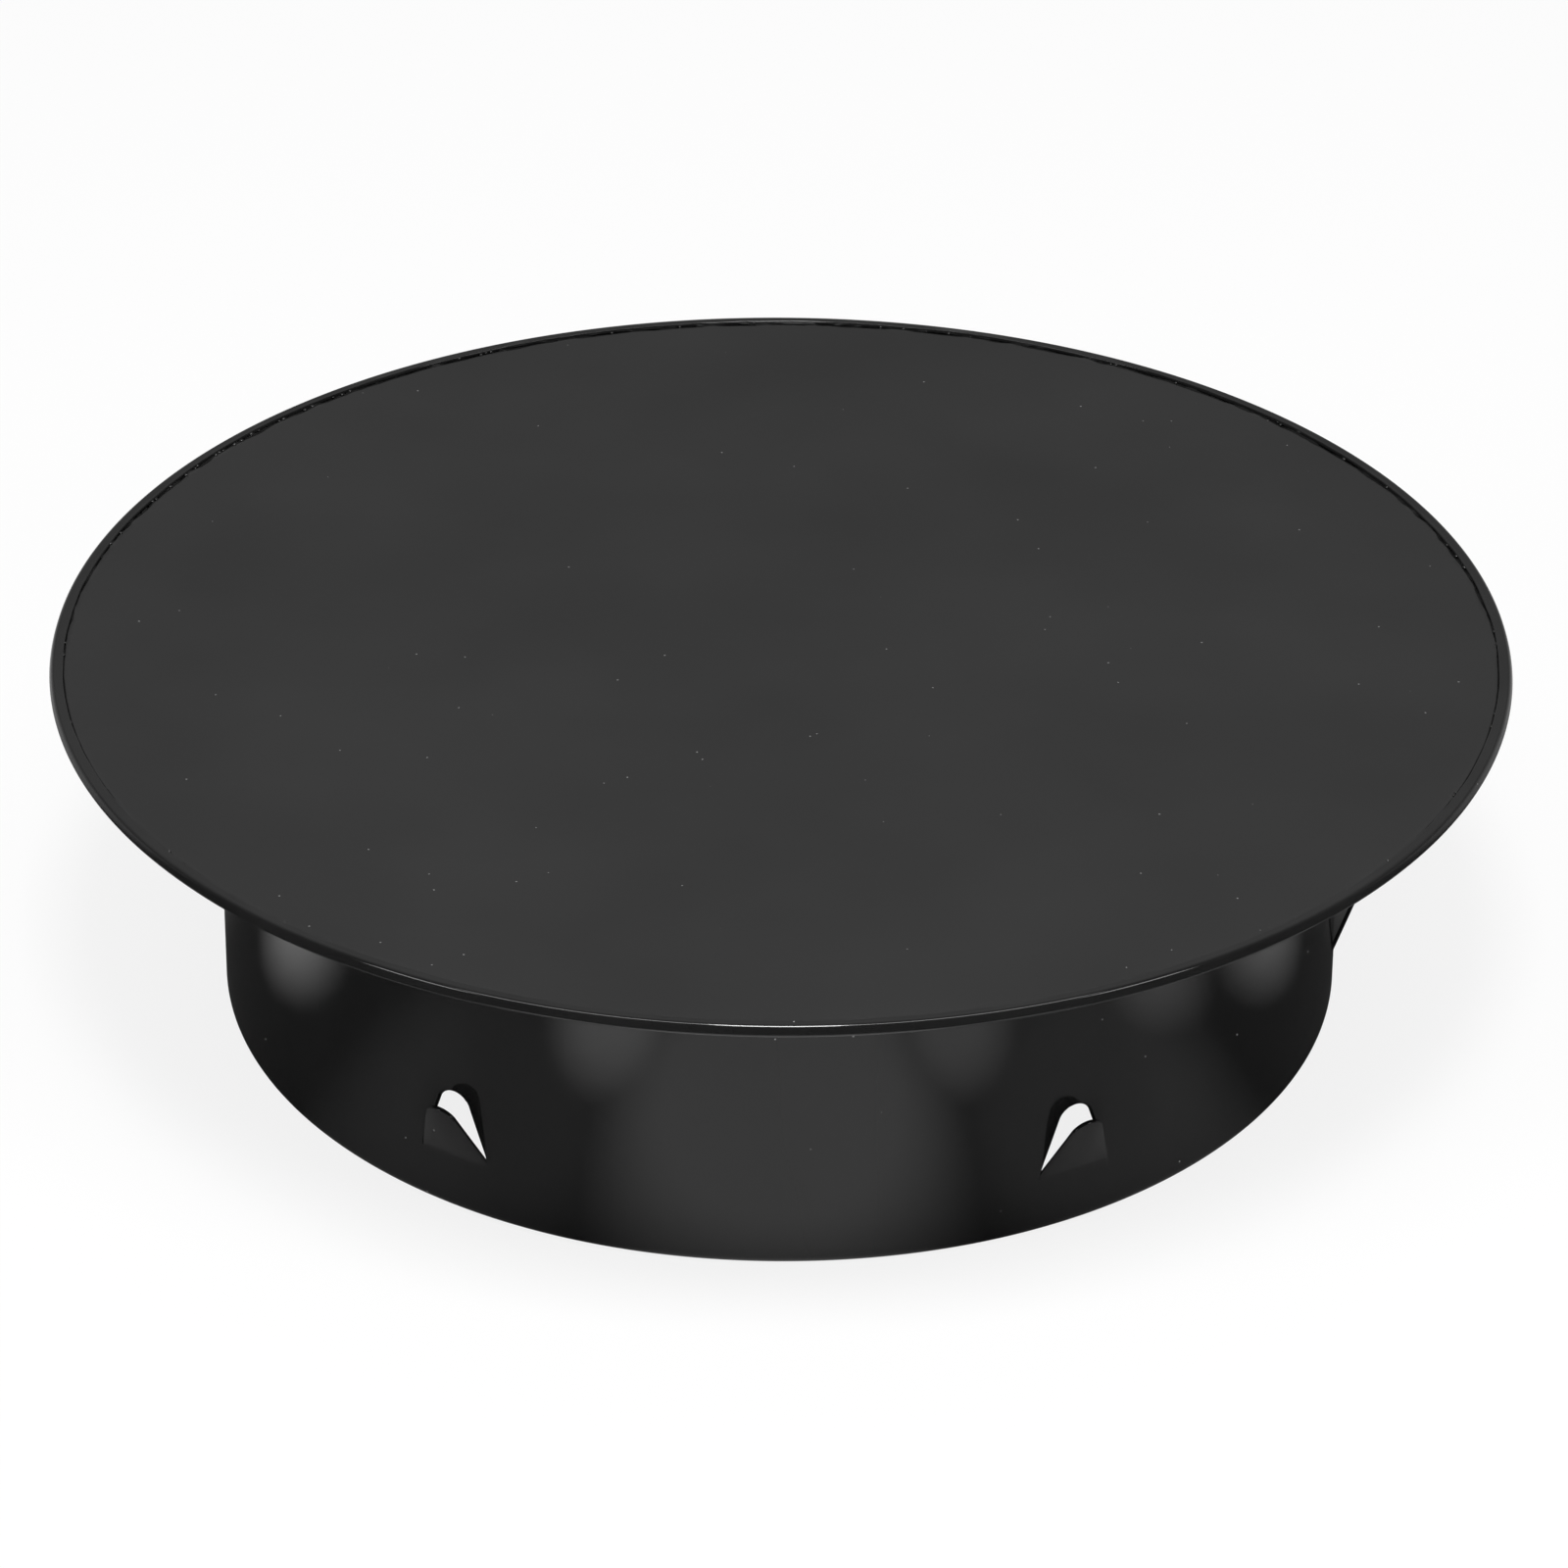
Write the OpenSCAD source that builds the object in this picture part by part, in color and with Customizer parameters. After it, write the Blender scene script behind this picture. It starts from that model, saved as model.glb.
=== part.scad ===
// Duct end cap: a flat round cover seamed to a short barbed collar that pushes into a round duct.
// Millimetres. The collar stands on its lower edge at z = 0, and the cover is on top.

/* [Collar] */
// Outside diameter of the collar, a loose fit in a 150 mm duct
collar_d = 148; // [120:1:165]
// Height from the collar's lower edge to the top of the rim
total_h = 48.7; // [40:0.1:80]
// Radius at which the collar's lower edge turns in
foot_r = 1.5; // [1:0.1:4]
// Radius of the bend from the collar up into the flange
neck_r = 1.5; // [0.5:0.1:4]

/* [Cover] */
// Outside diameter over the hemmed rim
rim_d = 191; // [180:1:240]
// Width of the hem on top of the cover, from the rim's outside
hem_w = 1.7; // [1.5:0.1:6]
// Thickness of the sheet with its enamel, the same in both pieces
sheet_t = 0.55; // [0.4:0.05:0.7]

/* [Barbs] */
// Width of a barb where it joins the collar
barb_w = 10.4; // [8:0.2:12]
// Length of a barb from its bend to its tip
barb_h = 9.8; // [8:0.1:14]
// Radius of a barb's rounded tip
barb_tip_r = 2.4; // [1.5:0.1:3]
// Height of the bend line above the collar's lower edge
barb_z = 7.9; // [6:0.1:12]
// Angle between a barb and the collar's wall
barb_lean = 21; // [10:1:30]

/* [Hidden] */
$fn = 180;

// Places of the barbs, in degrees round from the front: sixths of a turn, a little off as punched.
barb_angles = [-33.6, 30.3, 85, 145, 205.5, 266];

collar_r = collar_d / 2;
rim_r = rim_d / 2;

// The rim is three sheets thick: flange, cover and hem, and its outside is a half-round fold.
rim_t = 3 * sheet_t;
fold_r = rim_t / 2;
flange_z = total_h - rim_t;
cover_z = flange_z + sheet_t;
hem_z = cover_z + sheet_t;
nose_r = sheet_t / 2;
fold_x = rim_r - fold_r;
nose_x = rim_r - hem_w + nose_r;
neck_x = collar_r + neck_r;
neck_z = flange_z - neck_r;

// The cover's edge lies where the fold starts to turn.
cover_r = fold_x;

// The lower edge turns in this far round its radius, and ends in a rounded cut.
foot_turn = 75;
foot_x = collar_r - foot_r;
foot_mid_r = foot_r - sheet_t / 2;

// The gap that the punch leaves between a barb and its slot
cut_gap = 0.15;
// Height of the centre of a barb's round tip above its bend
tip_v = barb_h - barb_tip_r;
// A barb's straight sides end this far up its tip's radius, so that they cross the round and don't just touch it.
side_reach = 0.99;
// How far a barb's root is sunk into the wall below its bend
root_depth = 0.4;
// A cut reaches this far past both faces of the wall.
cut_past = 3;
wall_mid_r = collar_r - sheet_t / 2;
// A barb is flat and its wall is round, so the bend crosses the wall's middle a quarter in from each foot.
bend_r = sqrt(pow(wall_mid_r, 2) - pow(barb_w / 4, 2));

// A stretch of ring round the corner at (x, y), from angle a0 to angle a1
module bend(x, y, inner_r, outer_r, a0, a1) {
    reach = 2 * outer_r;
    middle = (a0 + a1) / 2;
    translate([x, y]) intersection() {
        difference() {
            circle(outer_r);
            circle(inner_r);
        }
        polygon([
            [0, 0],
            [reach * cos(a0), reach * sin(a0)],
            [reach * cos(middle), reach * sin(middle)],
            [reach * cos(a1), reach * sin(a1)]
        ]);
    }
}

// A straight stretch of sheet between two corners
module strip(x0, y0, x1, y1) {
    translate([x0, y0]) square([x1 - x0, y1 - y0]);
}

// Half section of the collar: foot, wall, neck, flange, fold and hem
module collar_section() {
    bend(foot_x, foot_r, foot_r - sheet_t, foot_r, -foot_turn, 0);
    translate([
        foot_x + foot_mid_r * cos(foot_turn),
        foot_r - foot_mid_r * sin(foot_turn)
    ]) circle(sheet_t / 2, $fn = 32);
    strip(collar_r - sheet_t, foot_r, collar_r, neck_z);
    bend(neck_x, neck_z, neck_r, neck_r + sheet_t, 90, 180);
    strip(neck_x, flange_z, fold_x, cover_z);
    bend(fold_x, flange_z + fold_r, fold_r - sheet_t, fold_r, -90, 90);
    strip(nose_x, hem_z, fold_x, total_h);
    translate([nose_x, hem_z + nose_r]) circle(nose_r, $fn = 32);
}

// Direction from a barb's tip centre to where its straight side leaves the round tip
function side_angle(tip_r, half_w) = acos(tip_r / norm([half_w, tip_v])) - atan2(tip_v, half_w);

// A barb's outline, with its bend on the u axis: a round tip and straight sides down to two feet.
// The gap is left all round, and below is how far it reaches under the bend.
module barb_outline(gap, below) {
    tip_r = barb_tip_r - gap;
    half_w = barb_w / 2 - gap;
    turn = side_angle(tip_r, half_w);
    side_u = side_reach * tip_r * cos(turn);
    side_v = tip_v + side_reach * tip_r * sin(turn);
    translate([0, tip_v]) circle(tip_r);
    polygon([
        [-half_w, -below],
        [half_w, -below],
        [half_w, 0],
        [side_u, side_v],
        [-side_u, side_v],
        [-half_w, 0]
    ]);
}

// The outline pushed through the wall at the front of the collar
module barb_cutter(gap, below) {
    translate([0, -collar_r + cut_past, barb_z]) rotate([90, 0, 0])
        linear_extrude(2 * cut_past) barb_outline(gap, below);
}

// One barb: a flat tongue of the same sheet, swung out about its bend
module barb() {
    translate([0, -bend_r, barb_z])
        rotate([90 + barb_lean, 0, 0])
            translate([0, 0, -sheet_t / 2])
                linear_extrude(sheet_t) barb_outline(cut_gap, root_depth);
}

module cover_disc() {
    color("#383838") translate([0, 0, cover_z]) cylinder(h = sheet_t, r = cover_r);
}

module collar_ring() {
    color("#2a2a2a") {
        difference() {
            rotate_extrude() collar_section();
            for (a = barb_angles) rotate([0, 0, a]) barb_cutter(0, 0);
        }
        for (a = barb_angles) rotate([0, 0, a]) barb();
    }
}

cover_disc();
collar_ring();
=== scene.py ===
import math
import random

import bmesh
import bpy
from mathutils import Matrix, Vector


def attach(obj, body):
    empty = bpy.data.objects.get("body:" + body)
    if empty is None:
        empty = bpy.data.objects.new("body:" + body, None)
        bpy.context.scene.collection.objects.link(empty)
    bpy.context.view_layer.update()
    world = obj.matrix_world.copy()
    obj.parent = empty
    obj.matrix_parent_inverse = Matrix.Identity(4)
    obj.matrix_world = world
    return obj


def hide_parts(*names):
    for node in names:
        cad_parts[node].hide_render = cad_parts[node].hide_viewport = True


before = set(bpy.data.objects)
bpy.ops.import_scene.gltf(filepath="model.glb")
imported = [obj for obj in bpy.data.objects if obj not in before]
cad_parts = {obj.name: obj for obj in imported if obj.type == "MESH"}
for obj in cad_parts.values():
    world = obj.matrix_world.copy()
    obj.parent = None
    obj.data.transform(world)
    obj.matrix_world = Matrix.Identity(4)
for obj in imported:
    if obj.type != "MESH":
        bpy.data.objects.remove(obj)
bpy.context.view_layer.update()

# The sizes of the cap, in metres, as the sheets are cut and folded
MM = 0.001
COLLAR_R = 74 * MM
TOTAL_H = 48.7 * MM
FOOT_R = 1.5 * MM
FOOT_TURN = math.radians(75)
NECK_R = 1.5 * MM
RIM_R = 95.5 * MM
HEM_W = 1.7 * MM
SHEET_T = 0.55 * MM
FOLD_R = 0.56 * MM
FOLD_SLOPE = 72
FLANGE_Z = TOTAL_H - 3 * SHEET_T
COVER_Z = FLANGE_Z + SHEET_T
HEM_Z = COVER_Z + SHEET_T
NECK_Z = FLANGE_Z - NECK_R
RING_STEPS = 480

# The barbs: a round-tipped tongue with straight sides, cut on three sides and bent out
BARB_ANGLES = (-33.6, 30.3, 85, 145, 205.5, 266)
BARB_W = 10.4 * MM
BARB_H = 9.8 * MM
BARB_TIP_R = 2.4 * MM
BARB_Z = 7.9 * MM
BARB_LEAN = math.radians(22)
BEND_ROWS = 4
BEND_STEP = 0.25 * MM
CUT_ROUND = 0.14 * MM
SLOT_ROLL = 0.38 * MM
SHARP_TURN = math.radians(55)
TIP_V = BARB_H - BARB_TIP_R
SIDE_TURN = math.acos(BARB_TIP_R / math.hypot(BARB_W / 2, TIP_V)) - math.atan2(TIP_V, BARB_W / 2)
SIDE_U = BARB_TIP_R * math.cos(SIDE_TURN)
SIDE_V = TIP_V + BARB_TIP_R * math.sin(SIDE_TURN)

# Slack when heights are compared: near for parts that lie well apart, a hair for rows that lie close
NEAR = 0.01 * MM
HAIR = 0.001 * MM

# How the hem's inner edge strays: axis, reach, size of the waves, and the level that stays in place
HEM_WAVES = (
    ("X", 0.55 * MM, 0.014, 0.5),
    ("Y", 0.55 * MM, 0.011, 0.5),
    ("Z", 0.20 * MM, 0.004, 0.35),
)

# The seam: how far the cover is pressed up inside the hem, and how enamel fills the groove between them
COVER_RISE = 0.22 * MM
COVER_CROWN = 0.08 * MM
SEAM_W = 0.36 * MM
SEAM_ROWS = 6
PANEL_ROWS = 8
SEAM_STEPS = 960
SEAM_WAVES = (
    ("X", 1.1 * MM, 0.0042, 0.5, "shoulder"),
    ("Y", 1.1 * MM, 0.0036, 0.8, "shoulder"),
    ("Z", 0.9 * MM, 0.0030, 0.5, "seam_floor"),
)

# How uneven the groove is in front and at the sides, and how far back from the axis it takes to gain 1
GROOVE_FRONT = 0.12
GROOVE_SIDE = 0.4
GROOVE_GAIN_Y = 50 * MM

# The beads: the stretch of seam where they are dense and the steps between them, in degrees,
# then their radius and how far inside the hem they sit, in millimetres
BEAD_STRETCH = (217, 244)
DENSE_STEPS = (0.5, 0.9, 1.4, 2.4)
SPARSE_STEPS = (0.5, 2, 6, 11)
BEAD_SIZES = (0.18, 0.32)
BEAD_INWARD = (-0.05, 0.3)

# The enamel's own colour and gloss, and its specks
COLLAR_BASE = 0.012
COLLAR_GLOSS = 0.42
COLLAR_SPECK = 0.5
COVER_BASE = 0.014
COVER_GLOSS = 0.5
COVER_SPECK = 0.18
CLEAN_ROUGH = 0.07
SMUDGED_ROUGH = 0.17

# The floor: its paint, how much of its own white it shows, and the painted shade it shows in the enamel,
# nearly black in front of the cap and dim behind it
FLOOR_PAINT = 0.86
WHITE_SEEN = 0.85
GLOSS_SHADE_FRONT = 0.03
GLOSS_SHADE_BEHIND = 0.4

# Painted reflections: soft bright patches on the floor that only the enamel shows: x, y, radius while full,
# radius when faded, level
PAINTED_GLOSS_PATCHES = (
    (0, -0.115, 0.028, 0.056, 0.90),
    (-0.052, -0.118, 0.006, 0.028, 1.35),
    (0.054, -0.116, 0.006, 0.028, 0.95),
    (-0.062, -0.078, 0.018, 0.046, 0.20),
    (0.066, -0.076, 0.018, 0.046, 0.26),
    (0.104, -0.066, 0.004, 0.030, 0.70),
    (-0.108, -0.022, 0.004, 0.026, 1.0),
    (0.110, -0.020, 0.004, 0.028, 0.65),
)

# The studio's brightness, by depth for the back and by height for the others: from, to, and its level at each
STUDIO_BACK = (-0.2, 0.7, 0.04, 1)
STUDIO_LOW = (0.22, 0.40, 0.36, 0.17)
STUDIO_HIGH = (0.40, 0.56, 0, 0.19)

# The lamps: name, width, depth, watts, place; each faces the middle of the cap's foot
LAMPS = (
    ("overhead_softbox", 0.3, 0.5, 13, (0, -0.5, 1.4)),
    ("wide_strip", 1.8, 0.3, 12, (0, -0.5, 1.45)),
    ("left_softbox", 0.35, 0.35, 2.4, (-1.0, -0.7, 0.7)),
    ("right_softbox", 0.35, 0.35, 2.4, (1.0, -0.7, 0.7)),
)

# The camera: its place, its tilt and turns in degrees, and its lens in millimetres
CAMERA_PLACE = (0, -0.84302, 0.51526)
CAMERA_DOWN = 28.962
CAMERA_YAW = 0.0277
CAMERA_PITCH = -1.1125
CAMERA_ROLL = 0.3116
CAMERA_LENS = 168.93


# Helpers for working as by hand

def start_clean():
    """Leave edit mode and deselect every object."""
    if bpy.context.object and bpy.context.object.mode != "OBJECT":
        bpy.ops.object.mode_set(mode="OBJECT")
    bpy.ops.object.select_all(action="DESELECT")


def take_up(obj):
    """Make this the one selected and active object."""
    start_clean()
    obj.select_set(True)
    bpy.context.view_layer.objects.active = obj


def open_mesh(obj, select_mode="VERT"):
    """Go into edit mode on this object with nothing selected."""
    take_up(obj)
    bpy.ops.object.mode_set(mode="EDIT")
    bpy.ops.mesh.select_mode(type=select_mode)
    bpy.ops.mesh.select_all(action="DESELECT")
    return bmesh.from_edit_mesh(obj.data)


def pick(obj, elements, test):
    """Select the elements that pass the test, and no others."""
    for element in elements:
        element.select_set(test(element))
    bmesh.update_edit_mesh(obj.data)


def name_piece(name):
    """Name the object that has just been added, and settle it at the origin."""
    obj = bpy.context.object
    obj.name = name
    obj.data.name = name
    bpy.ops.object.transform_apply(location=True, rotation=True, scale=True)
    return obj


def arc(centre_r, centre_z, radius, start, end, steps):
    """Points on an arc in the half section, with angles in degrees from the outward direction."""
    points = []
    for i in range(steps + 1):
        angle = math.radians(start + (end - start) * i / steps)
        points.append((centre_r + radius * math.cos(angle), centre_z + radius * math.sin(angle)))
    return points


def carry_ring(points):
    """Extrude the selected ring of edges through each radius and height in turn."""
    for (r0, z0), (r1, z1) in zip(points, points[1:]):
        bpy.ops.mesh.extrude_edges_move(TRANSFORM_OT_translate={"value": (0, 0, z1 - z0)})
        bpy.ops.transform.resize(value=(r1 / r0, r1 / r0, 1), center_override=(0, 0, z1))


def apply_modifier(obj, kind, **settings):
    """Add a modifier, set it and apply it."""
    take_up(obj)
    modifier = obj.modifiers.new(kind.lower(), kind)
    for key, value in settings.items():
        setattr(modifier, key, value)
    bpy.ops.object.modifier_apply(modifier=modifier.name)


# The collar's sheet

def collar_section():
    """The lower and outer face of the sheet, from the turned-in foot to the hem's inner edge."""
    foot_turn = math.degrees(FOOT_TURN)
    points = arc(COLLAR_R - FOOT_R, FOOT_R, FOOT_R, -foot_turn, 0, 10)
    below_barbs = BARB_Z - 1 * MM
    above_barbs = BARB_Z + BARB_H + 2 * MM
    points.append((COLLAR_R, below_barbs))
    wall_rows = 8
    for i in range(wall_rows + 1):
        points.append((COLLAR_R, above_barbs + (NECK_Z - above_barbs) * i / wall_rows))
    points += arc(COLLAR_R + NECK_R, NECK_Z, NECK_R, 180, 90, 8)[1:]
    points.append((COLLAR_R + 6 * NECK_R, FLANGE_Z))
    slope = 90 - FOLD_SLOPE
    low_r = RIM_R - FOLD_R
    high_z = TOTAL_H - FOLD_R
    rise = high_z - FLANGE_Z - FOLD_R
    high_r = low_r - rise * math.tan(math.radians(slope))
    points += arc(low_r, FLANGE_Z + FOLD_R, FOLD_R, -90, slope, 14)
    points += arc(high_r, high_z, FOLD_R, slope, 90, 10)
    points.append((RIM_R - HEM_W * 0.8, TOTAL_H))
    points.append((RIM_R - HEM_W, TOTAL_H))
    return points


def turn_sheet(obj, degrees):
    """Turn the whole sheet about the cap's axis."""
    obj.data.transform(Matrix.Rotation(math.radians(degrees), 4, "Z"))
    obj.data.update()


def make_barb_tool():
    """The punch: the barb's outline as an open prism through the front of the wall."""
    start_y = -COLLAR_R - 2 * MM
    start_clean()
    bpy.ops.mesh.primitive_circle_add(
        vertices=40, radius=BARB_TIP_R, fill_type="NOTHING",
        location=(0, start_y, BARB_Z + TIP_V), rotation=(math.pi / 2, 0, 0))
    tool = name_piece("barb_tool")
    mesh = open_mesh(tool)
    low = BARB_Z + SIDE_V - 0.02 * MM
    pick(tool, mesh.verts, lambda v: v.co.z < low)
    bpy.ops.mesh.delete(type="VERT")
    mesh = bmesh.from_edit_mesh(tool.data)
    end_z = min(v.co.z for v in mesh.verts)
    end_x = max(v.co.x for v in mesh.verts if v.co.z < end_z + HAIR)
    pick(tool, mesh.verts, lambda v: v.co.z < end_z + HAIR)
    bpy.ops.mesh.extrude_vertices_move(TRANSFORM_OT_translate={"value": (0, 0, BARB_Z - end_z)})
    widen = BARB_W / 2 / end_x
    bpy.ops.transform.resize(value=(widen, 1, 1), center_override=(0, start_y, BARB_Z))
    bpy.ops.mesh.edge_face_add()
    bpy.ops.mesh.select_all(action="SELECT")
    bpy.ops.mesh.extrude_edges_move(TRANSFORM_OT_translate={"value": (0, 5 * MM, 0)})
    bpy.ops.object.mode_set(mode="OBJECT")
    return tool


def inside_barb(x, z):
    """Whether a point of the wall at the front lies within the barb's outline."""
    v = z - BARB_Z
    if v < 0:
        return False
    if v < SIDE_V:
        half = BARB_W / 2 + (SIDE_U - BARB_W / 2) * v / SIDE_V
        return abs(x) < half
    return math.hypot(x, v - TIP_V) < BARB_TIP_R


def in_front(face, low, high):
    """Whether a face lies at the front of the wall, between two heights and about the barb's width."""
    centre = face.calc_center_median()
    return centre.y < 0 and abs(centre.x) < BARB_W and low < centre.z < high


def off_wall(face):
    """Whether a face leaves the wall, as those of the punch do."""
    return any(abs(math.hypot(v.co.x, v.co.y) - COLLAR_R) > 0.2 * MM for v in face.verts)


def is_barb(face):
    """Whether a face of the unbent wall belongs to the barb at the front."""
    centre = face.calc_center_median()
    return centre.y < 0 and inside_barb(centre.x, centre.z)


def lance_barb(sheet, tool):
    """Cut one barb free at the front of the wall, and bend it outwards in small steps."""
    take_up(tool)
    bpy.ops.object.duplicate()
    punch = bpy.context.object
    sheet_faces = len(sheet.data.polygons)
    take_up(sheet)
    punch.select_set(True)
    bpy.ops.object.join()
    mesh = open_mesh(sheet, "FACE")
    mesh.faces.ensure_lookup_table()
    pick(sheet, mesh.faces, lambda f: f.index >= sheet_faces)
    bpy.ops.mesh.select_mode(type="EDGE")
    bpy.ops.mesh.intersect(mode="SELECT_UNSELECT", separate_mode="NONE", solver="EXACT")
    bpy.ops.mesh.mark_seam(clear=False)
    mesh = open_mesh(sheet, "FACE")
    top = BARB_Z + BARB_H
    pick(sheet, mesh.faces, lambda f: in_front(f, BARB_Z - 0.1 * MM, top + 0.1 * MM) and off_wall(f))
    bpy.ops.mesh.delete(type="FACE")
    mesh = open_mesh(sheet, "EDGE")
    pick(sheet, mesh.edges, lambda e: e.seam and max(v.co.z for v in e.verts) > BARB_Z + HAIR)
    bpy.ops.mesh.edge_split(type="EDGE")
    for row in range(1, BEND_ROWS):
        mesh = open_mesh(sheet, "FACE")
        pick(sheet, mesh.faces, is_barb)
        bpy.ops.mesh.bisect(plane_co=(0, 0, BARB_Z + row * BEND_STEP), plane_no=(0, 0, 1))
    mesh = open_mesh(sheet, "FACE")
    pick(sheet, mesh.faces, is_barb)
    bpy.ops.mesh.hide(unselected=True)
    bpy.ops.mesh.select_mode(type="VERT")
    for row in reversed(range(BEND_ROWS)):
        hinge_z = BARB_Z + row * BEND_STEP
        mesh = bmesh.from_edit_mesh(sheet.data)
        bpy.ops.mesh.select_all(action="DESELECT")
        pick(sheet, mesh.verts, lambda v: not v.hide and v.co.z > hinge_z + HAIR)
        bpy.ops.transform.rotate(
            value=-BARB_LEAN / BEND_ROWS, orient_axis="X", center_override=(0, -COLLAR_R, hinge_z))
    bpy.ops.mesh.reveal(select=False)
    bpy.ops.mesh.select_all(action="SELECT")
    bpy.ops.mesh.mark_seam(clear=True)
    bpy.ops.object.mode_set(mode="OBJECT")


def waver_hem(sheet):
    """Give the hem's inner edge the uneven width and the slight lift of folded sheet."""
    mesh = open_mesh(sheet)
    inner_r = RIM_R - HEM_W * 0.9
    pick(sheet, mesh.verts, lambda v: v.co.z > TOTAL_H - NEAR and math.hypot(v.co.x, v.co.y) < inner_r)
    bpy.ops.object.mode_set(mode="OBJECT")
    edge = [v.index for v in sheet.data.vertices if v.select]
    group = sheet.vertex_groups.new(name="hem_edge")
    group.add(edge, 1, "REPLACE")
    for axis, reach, size, still in HEM_WAVES:
        grain = bpy.data.textures.new("waver", "CLOUDS")
        grain.noise_scale = size
        apply_modifier(
            sheet, "DISPLACE", texture=grain, vertex_group="hem_edge", direction=axis, strength=reach,
            mid_level=still)


def roll_slots(sheet):
    """Round the outer edges of the slots."""
    mesh = open_mesh(sheet, "EDGE")

    def on_slot(edge):
        if not edge.is_manifold or edge.calc_face_angle() < SHARP_TURN:
            return False
        for vert in edge.verts:
            if abs(math.hypot(vert.co.x, vert.co.y) - COLLAR_R) > 0.004 * MM:
                return False
            if not BARB_Z - NEAR < vert.co.z < BARB_Z + BARB_H + NEAR:
                return False
        return True

    pick(sheet, mesh.edges, on_slot)
    bpy.ops.mesh.bevel(offset=SLOT_ROLL, segments=5, clamp_overlap=False)
    bpy.ops.object.mode_set(mode="OBJECT")


def make_collar_sheet():
    """The collar, its flange, its hem and its barbs, as one folded sheet."""
    start_clean()
    section = collar_section()
    bpy.ops.mesh.primitive_circle_add(
        vertices=RING_STEPS, radius=section[0][0], fill_type="NOTHING", location=(0, 0, section[0][1]))
    sheet = name_piece("collar_sheet")
    open_mesh(sheet)
    bpy.ops.mesh.select_all(action="SELECT")
    carry_ring(section)
    bpy.ops.object.mode_set(mode="OBJECT")
    tool = make_barb_tool()
    for angle in BARB_ANGLES:
        turn_sheet(sheet, -angle)
        lance_barb(sheet, tool)
        turn_sheet(sheet, angle)
    start_clean()
    bpy.data.objects.remove(tool)
    open_mesh(sheet)
    bpy.ops.mesh.select_all(action="SELECT")
    bpy.ops.mesh.normals_make_consistent(inside=False)
    mesh = bmesh.from_edit_mesh(sheet.data)
    wall = next(f for f in mesh.faces if abs(f.calc_center_median().z - TOTAL_H / 2) < 4 * MM)
    centre = wall.calc_center_median()
    if wall.normal.x * centre.x + wall.normal.y * centre.y < 0:
        bpy.ops.mesh.flip_normals()
    bpy.ops.object.mode_set(mode="OBJECT")
    waver_hem(sheet)
    apply_modifier(
        sheet, "SOLIDIFY", thickness=SHEET_T, offset=-1, use_even_offset=False, use_quality_normals=True)
    roll_slots(sheet)
    apply_modifier(
        sheet, "BEVEL", width=CUT_ROUND, segments=3, limit_method="ANGLE", angle_limit=SHARP_TURN,
        use_clamp_overlap=False)
    take_up(sheet)
    bpy.ops.object.shade_smooth_by_angle(angle=math.radians(35))
    return sheet


# The flat cover and the enamel in its seam

def make_cover_plate():
    """A round sheet whose edge is held in the fold, pressed up a little inside the hem."""
    edge_r = RIM_R - 1.5 * SHEET_T
    seam_r = RIM_R - HEM_W
    face_z = HEM_Z + COVER_RISE
    section = [(edge_r, COVER_Z), (edge_r, HEM_Z), (seam_r + 0.3 * MM, HEM_Z), (seam_r, HEM_Z)]
    for i in range(1, SEAM_ROWS + 1):
        lift = (1 - math.cos(math.pi * i / SEAM_ROWS)) / 2
        section.append((seam_r - SEAM_W * i / SEAM_ROWS, HEM_Z + COVER_RISE * lift))
    panel_r = seam_r - SEAM_W - 0.5 * MM
    for i in range(PANEL_ROWS):
        crown = COVER_CROWN * math.sin(math.pi / 2 * i / PANEL_ROWS) ** 2
        section.append((panel_r * (1 - i / PANEL_ROWS), face_z + crown))
    start_clean()
    bpy.ops.mesh.primitive_circle_add(
        vertices=SEAM_STEPS, radius=edge_r, fill_type="NOTHING", location=(0, 0, COVER_Z))
    plate = name_piece("cover_plate")
    open_mesh(plate)
    bpy.ops.mesh.select_all(action="SELECT")
    carry_ring(section)
    bpy.ops.mesh.edge_face_add()
    mesh = open_mesh(plate)
    pick(plate, mesh.verts, lambda v: v.co.z < COVER_Z + NEAR)
    bpy.ops.mesh.edge_face_add()
    bpy.ops.mesh.select_all(action="SELECT")
    bpy.ops.mesh.normals_make_consistent(inside=False)
    bpy.ops.object.mode_set(mode="OBJECT")
    shoulder = plate.vertex_groups.new(name="shoulder")
    seam_floor = plate.vertex_groups.new(name="seam_floor")
    for vert in plate.data.vertices:
        radius = math.hypot(vert.co.x, vert.co.y)
        inward = (seam_r - radius) / SEAM_W
        uneven = min(1, max(GROOVE_FRONT, GROOVE_SIDE + vert.co.y / GROOVE_GAIN_Y))
        if -0.01 < inward < 1.01:
            shoulder.add([vert.index], uneven * min(1, max(0, inward * 1.5)), "REPLACE")
            seam_floor.add([vert.index], uneven * min(1, max(0, 1 - inward)), "REPLACE")
    for axis, reach, size, still, group in SEAM_WAVES:
        grain = bpy.data.textures.new("enamel_in_seam", "CLOUDS")
        grain.noise_scale = size
        apply_modifier(
            plate, "DISPLACE", texture=grain, vertex_group=group, direction=axis, strength=reach,
            mid_level=still)
    take_up(plate)
    bpy.ops.object.shade_smooth_by_angle(angle=math.radians(50))
    return plate


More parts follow.
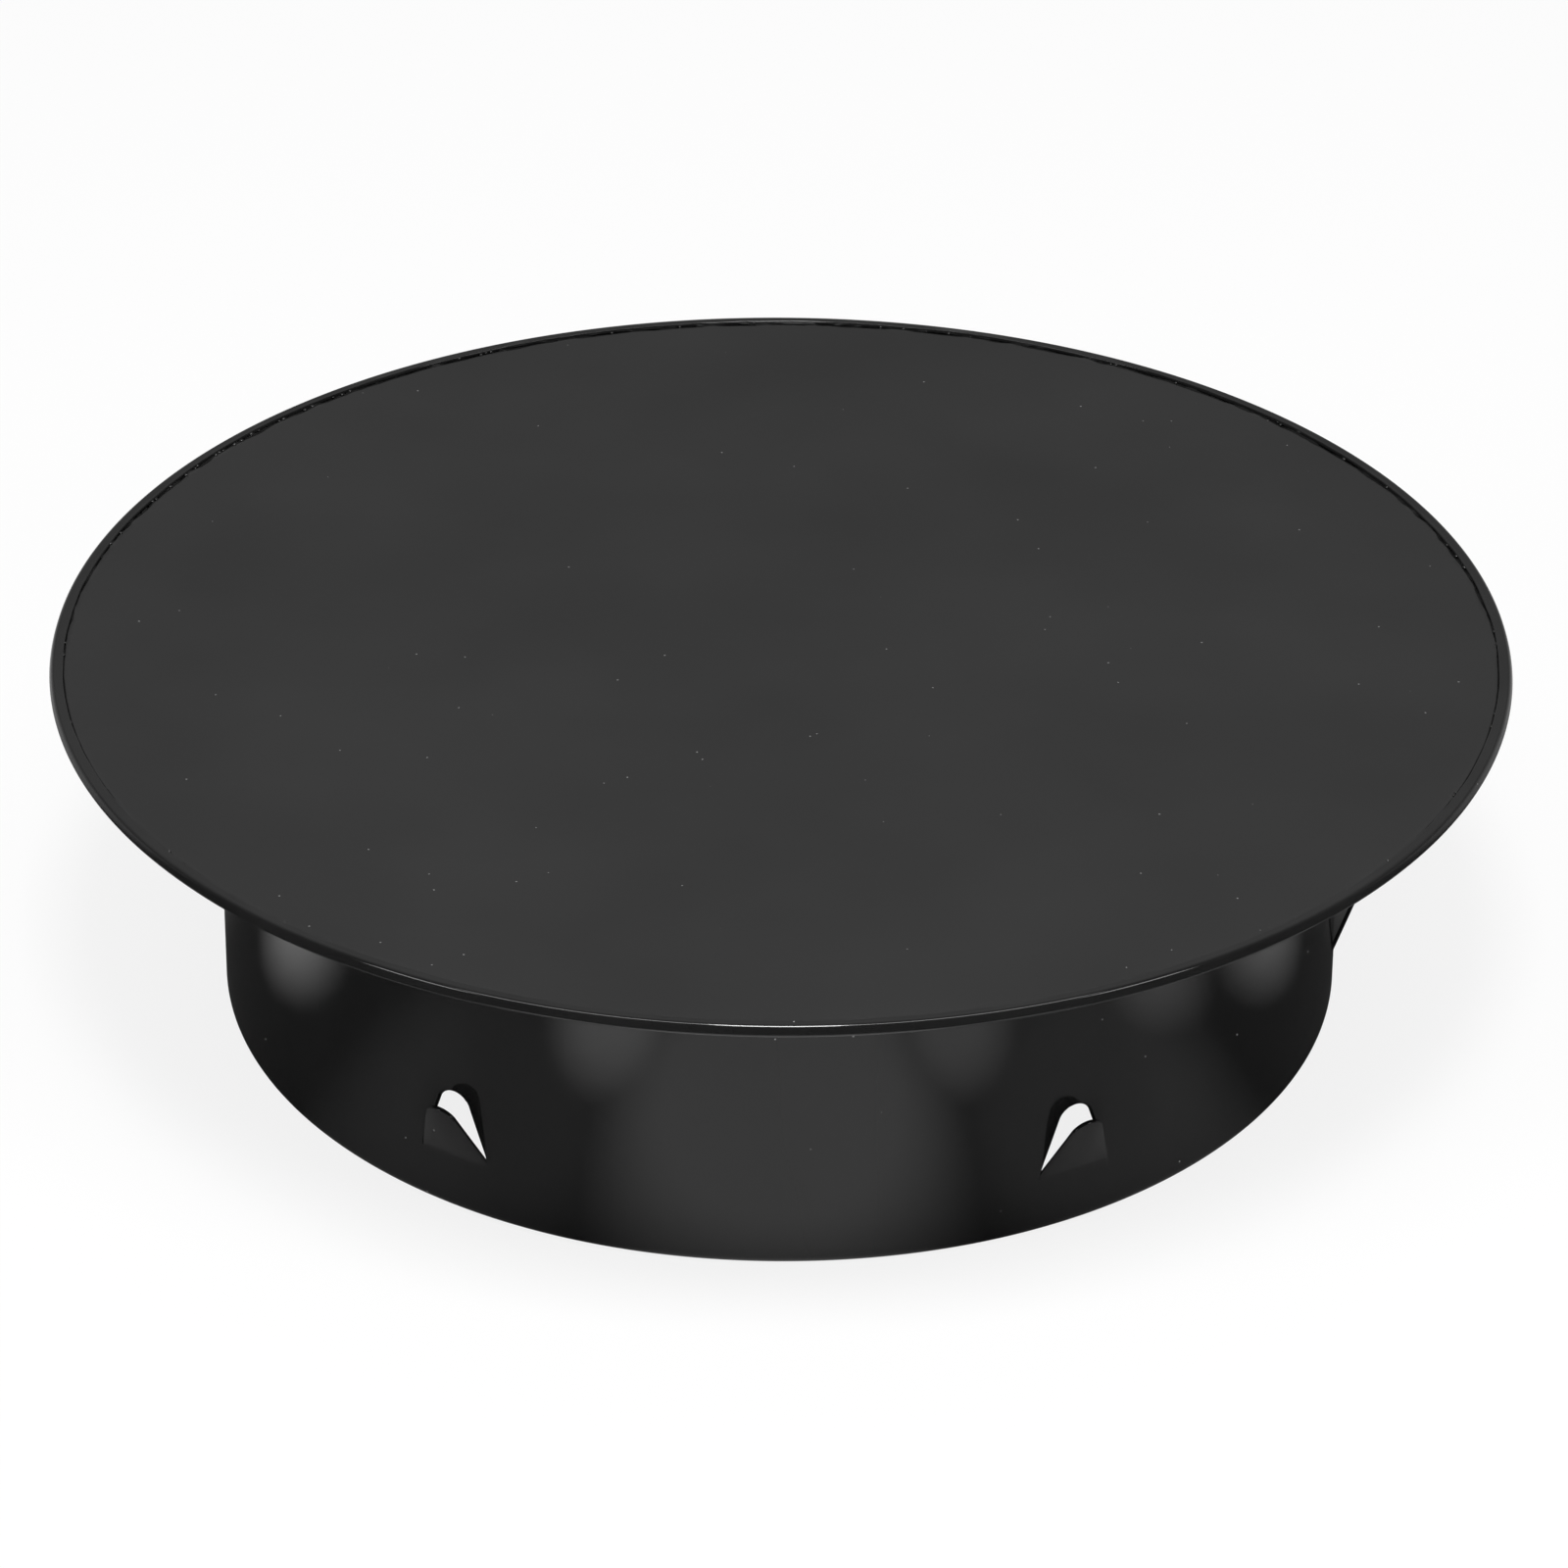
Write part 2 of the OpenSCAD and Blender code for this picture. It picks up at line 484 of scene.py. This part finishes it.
def make_beads():
    """Bubbles and beads of enamel that dried along the seam."""
    start_clean()
    bpy.ops.mesh.primitive_ico_sphere_add(subdivisions=2, radius=1 * MM)
    bead = name_piece("bead")
    open_mesh(bead)
    bpy.ops.mesh.select_all(action="SELECT")
    bpy.ops.transform.resize(value=(1, 1, 0.8), center_override=(0, 0, 0))
    bpy.ops.mesh.bisect(plane_co=(0, 0, -0.5 * MM), plane_no=(0, 0, 1), clear_inner=True, use_fill=True)
    bpy.ops.object.mode_set(mode="OBJECT")
    chance = random.Random(11)
    beads = []
    angle = 0.0
    while angle < 360:
        dense = BEAD_STRETCH[0] < angle < BEAD_STRETCH[1]
        angle += chance.choice(DENSE_STEPS if dense else SPARSE_STEPS)
        size = chance.uniform(*BEAD_SIZES)
        radius = RIM_R - HEM_W - chance.uniform(*BEAD_INWARD) * MM
        take_up(bead)
        bpy.ops.object.duplicate()
        copy = bpy.context.object
        copy.scale = (size, size, size)
        turn = math.radians(angle)
        copy.location = (radius * math.sin(turn), -radius * math.cos(turn), HEM_Z + COVER_RISE)
        bpy.ops.object.transform_apply(location=True, rotation=True, scale=True)
        beads.append(copy)
    start_clean()
    for copy in beads:
        copy.select_set(True)
    bpy.context.view_layer.objects.active = beads[0]
    bpy.ops.object.join()
    joined = bpy.context.object
    joined.name = "seam_beads"
    joined.data.name = "seam_beads"
    bpy.data.objects.remove(bead)
    take_up(joined)
    bpy.ops.object.shade_smooth_by_angle(angle=math.radians(50))
    return joined


# The finishes, and the helpers that lay their nodes

def add_math(tree, kind, *values):
    """One step of arithmetic on values that are each a number or the output of another node."""
    node = tree.nodes.new("ShaderNodeMath")
    node.operation = kind
    for socket, value in zip(node.inputs, values):
        if isinstance(value, (int, float)):
            socket.default_value = value
        else:
            tree.links.new(value, socket)
    return node.outputs[0]


def add_ramp(tree, source, low, high, to_low, to_high, smooth=False):
    """Carry a source from the range low to high onto to_low to to_high, and hold it at the ends."""
    ramp = tree.nodes.new("ShaderNodeMapRange")
    if smooth:
        ramp.interpolation_type = "SMOOTHSTEP"
    ramp.inputs["From Min"].default_value = low
    ramp.inputs["From Max"].default_value = high
    ramp.inputs["To Min"].default_value = to_low
    ramp.inputs["To Max"].default_value = to_high
    tree.links.new(source, ramp.inputs["Value"])
    return ramp.outputs["Result"]


def add_noise(tree, scale, detail, stretch=(1, 1, 1), shift=0.0):
    """Soft noise on the piece's own place, stretched and shifted."""
    place = tree.nodes.new("ShaderNodeTexCoord")
    mapping = tree.nodes.new("ShaderNodeMapping")
    mapping.inputs["Scale"].default_value = stretch
    mapping.inputs["Location"].default_value = (shift, shift, shift)
    tree.links.new(place.outputs["Object"], mapping.inputs["Vector"])
    texture = tree.nodes.new("ShaderNodeTexNoise")
    texture.inputs["Scale"].default_value = scale
    texture.inputs["Detail"].default_value = detail
    tree.links.new(mapping.outputs["Vector"], texture.inputs["Vector"])
    return texture.outputs["Fac"]


def make_enamel(name, base, gloss, grain_scale, speck_level):
    """Gloss black stove enamel: uneven in depth, lightly smudged, with a fine peel and a few specks."""
    material = bpy.data.materials.new(name)
    material.use_nodes = True
    tree = material.node_tree
    nodes = tree.nodes
    links = tree.links
    shader = nodes["Principled BSDF"]
    shader.inputs["Specular IOR Level"].default_value = gloss

    # Colour: deeper and thinner places, and fine pale specks of dust
    depth = add_ramp(tree, add_noise(tree, 55, 2, grain_scale), 0.3, 0.7, base * 0.85, base * 1.15)
    place = nodes.new("ShaderNodeTexCoord")
    dust = nodes.new("ShaderNodeTexVoronoi")
    dust.inputs["Scale"].default_value = 230
    links.new(place.outputs["Object"], dust.inputs["Vector"])
    speck = add_ramp(tree, dust.outputs["Distance"], 0.02, 0.035, speck_level, 0)
    shade = add_math(tree, "ADD", depth, speck)
    colour = nodes.new("ShaderNodeCombineColor")
    for channel in ("Red", "Green", "Blue"):
        links.new(shade, colour.inputs[channel])
    links.new(colour.outputs["Color"], shader.inputs["Base Color"])

    # Roughness: clean gloss with a few smudges
    handled = add_noise(tree, 26, 5, shift=3.0)
    smudge = add_ramp(tree, handled, 0.52, 0.72, CLEAN_ROUGH, SMUDGED_ROUGH)
    links.new(smudge, shader.inputs["Roughness"])

    # Surface: a fine peel on a slow drift of the sheet
    peel = nodes.new("ShaderNodeBump")
    peel.inputs["Distance"].default_value = 0.006 * MM
    links.new(add_noise(tree, 520, 2), peel.inputs["Height"])
    drift = nodes.new("ShaderNodeBump")
    drift.inputs["Distance"].default_value = 0.06 * MM
    links.new(add_noise(tree, 22, 1, grain_scale, 7.0), drift.inputs["Height"])
    links.new(peel.outputs["Normal"], drift.inputs["Normal"])
    links.new(drift.outputs["Normal"], shader.inputs["Normal"])
    return material


def dress(piece, material, node=None):
    """Give a piece its finish and its body, and the place of the node that it takes."""
    piece.data.materials.clear()
    piece.data.materials.append(material)
    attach(piece, "root")
    if node:
        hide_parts(node)


# Floor, light and camera

def make_floor():
    """A floor that shows white and takes the cap's shadow; in reflections it shows painted shade, nearly
    black in front and dim behind, with a few soft painted reflections of light.
    """
    start_clean()
    bpy.ops.mesh.primitive_plane_add(size=12, location=(0, 0, 0))
    floor = name_piece("floor")
    material = bpy.data.materials.new("pale_floor")
    material.use_nodes = True
    tree = material.node_tree
    nodes = tree.nodes
    links = tree.links
    shader = nodes["Principled BSDF"]
    shader.inputs["Base Color"].default_value = (FLOOR_PAINT, FLOOR_PAINT, FLOOR_PAINT, 1)
    shader.inputs["Roughness"].default_value = 0.9
    place = nodes.new("ShaderNodeTexCoord")
    parts = nodes.new("ShaderNodeSeparateXYZ")
    links.new(place.outputs["Object"], parts.inputs[0])
    # Painted shade: in reflections the floor is nearly black in front of the cap and dim behind it, though it
    # shows white
    painted_gloss_shade_and_light = add_ramp(tree, parts.outputs["Y"], 0, COLLAR_R, GLOSS_SHADE_FRONT, GLOSS_SHADE_BEHIND, smooth=True)
    # Painted reflections: soft bright patches added to the floor's level in reflections only
    for x, y, full_r, faded_r, level in PAINTED_GLOSS_PATCHES:
        span = nodes.new("ShaderNodeVectorMath")
        span.operation = "DISTANCE"
        span.inputs[1].default_value = (x, y, 0)
        links.new(place.outputs["Object"], span.inputs[0])
        painted_patch = add_ramp(tree, span.outputs["Value"], full_r, faded_r, level, 0, smooth=True)
        painted_gloss_shade_and_light = add_math(tree, "MAXIMUM", painted_patch, painted_gloss_shade_and_light)
    rays = nodes.new("ShaderNodeLightPath")
    in_gloss = rays.outputs["Is Glossy Ray"]
    seen = add_math(tree, "ADD", rays.outputs["Is Camera Ray"], rays.outputs["Is Transmission Ray"])
    white = nodes.new("ShaderNodeEmission")
    links.new(add_math(tree, "MULTIPLY_ADD", in_gloss, painted_gloss_shade_and_light, seen), white.inputs["Strength"])
    mix = nodes.new("ShaderNodeMixShader")
    links.new(add_math(tree, "MULTIPLY_ADD", seen, WHITE_SEEN, in_gloss), mix.inputs[0])
    links.new(shader.outputs[0], mix.inputs[1])
    links.new(white.outputs[0], mix.inputs[2])
    links.new(mix.outputs[0], nodes["Material Output"].inputs["Surface"])
    floor.data.materials.append(material)


def make_world():
    """A dim grey studio, brighter behind the cap than in front of it."""
    world = bpy.data.worlds.new("studio")
    bpy.context.scene.world = world
    world.use_nodes = True
    tree = world.node_tree
    background = tree.nodes["Background"]
    background.inputs["Color"].default_value = (1, 1, 1, 1)
    place = tree.nodes.new("ShaderNodeTexCoord")
    parts = tree.nodes.new("ShaderNodeSeparateXYZ")
    tree.links.new(place.outputs["Generated"], parts.inputs[0])
    back = add_ramp(tree, parts.outputs["Y"], *STUDIO_BACK, smooth=True)
    low = add_ramp(tree, parts.outputs["Z"], *STUDIO_LOW)
    high = add_ramp(tree, parts.outputs["Z"], *STUDIO_HIGH)
    level = add_math(tree, "MULTIPLY", back, add_math(tree, "ADD", high, low))
    tree.links.new(level, background.inputs["Strength"])


def add_softbox(name, width, depth, watts, place):
    """A soft lamp that faces the middle of the cap's foot."""
    start_clean()
    bpy.ops.object.light_add(type="AREA", location=place)
    lamp = bpy.context.object
    lamp.name = name
    lamp.data.shape = "RECTANGLE"
    lamp.data.size = width
    lamp.data.size_y = depth
    lamp.data.energy = watts
    lamp.rotation_euler = (-Vector(place)).to_track_quat("-Z", "Y").to_euler()


def make_camera():
    """The photograph's view: above the front edge, with a long lens."""
    down = math.radians(CAMERA_DOWN)
    yaw = math.radians(CAMERA_YAW)
    pitch = math.radians(CAMERA_PITCH)
    roll = math.radians(CAMERA_ROLL)
    right = Vector((1, 0, 0))
    ahead = Vector((0, math.cos(down), -math.sin(down)))
    up = Vector((0, math.sin(down), math.cos(down)))
    ahead_1 = math.cos(yaw) * ahead + math.sin(yaw) * right
    right_1 = math.cos(yaw) * right - math.sin(yaw) * ahead
    ahead_2 = math.cos(pitch) * ahead_1 + math.sin(pitch) * up
    up_2 = math.cos(pitch) * up - math.sin(pitch) * ahead_1
    right_3 = math.cos(roll) * right_1 + math.sin(roll) * up_2
    up_3 = math.cos(roll) * up_2 - math.sin(roll) * right_1
    start_clean()
    bpy.ops.object.camera_add(location=CAMERA_PLACE)
    camera = bpy.context.object
    camera.name = "camera"
    camera.rotation_euler = Matrix((right_3, up_3, -ahead_2)).transposed().to_euler()
    camera.data.lens = CAMERA_LENS
    camera.data.sensor_width = 36
    bpy.context.scene.camera = camera


# The cap

collar_sheet = make_collar_sheet()
cover_plate = make_cover_plate()
seam_beads = make_beads()
collar_enamel = make_enamel("collar_enamel", COLLAR_BASE, COLLAR_GLOSS, (1, 1, 0.12), COLLAR_SPECK)
cover_enamel = make_enamel("cover_enamel", COVER_BASE, COVER_GLOSS, (0.6, 0.6, 1), COVER_SPECK)
dress(collar_sheet, collar_enamel, "collar_ring")
dress(cover_plate, cover_enamel, "cover_disc")
dress(seam_beads, cover_enamel)

# Its studio

make_floor()
make_world()
for lamp in LAMPS:
    add_softbox(*lamp)
make_camera()
bpy.context.scene.view_settings.view_transform = "Standard"
